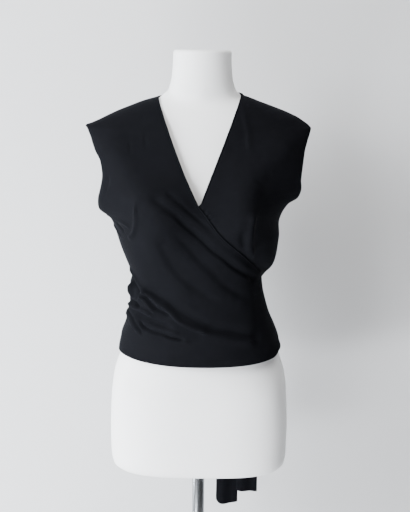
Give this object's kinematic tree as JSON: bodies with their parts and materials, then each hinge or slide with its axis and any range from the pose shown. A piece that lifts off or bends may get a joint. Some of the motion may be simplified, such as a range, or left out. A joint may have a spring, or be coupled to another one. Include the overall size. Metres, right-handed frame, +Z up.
{
  "type": "wrap top on dress form",
  "caption": "Sleeveless black wrap top with a deep V neck, tied behind, worn by a white limbless dress form on a pole stand.",
  "frame": {"origin": "centre of the round base's underside, on the floor", "axes": "+Z up along the pole, -Y out of the wearer's front, -X the wearer's right side"},
  "size_m": [0.4385, 0.34, 1.46],
  "materials": {
    "wrap_cloth": "matt black crepe jersey with a faint satin sheen",
    "form_white": "smooth satin white",
    "stand_metal": "bright plated steel"
  },
  "bodies": {
    "root": {"right_front": "wrap_cloth", "left_front": "wrap_cloth", "back_panel": "wrap_cloth", "left_tie": "wrap_cloth", "right_tie": "wrap_cloth", "tie_knot": "wrap_cloth", "tie_tail_right": "wrap_cloth", "tie_tail_left": "wrap_cloth", "dress_form": "form_white", "form_flange": "stand_metal", "stand_pole": "stand_metal", "stand_collar": "stand_metal", "stand_base": "stand_metal"}
  },
  "joints": []
}
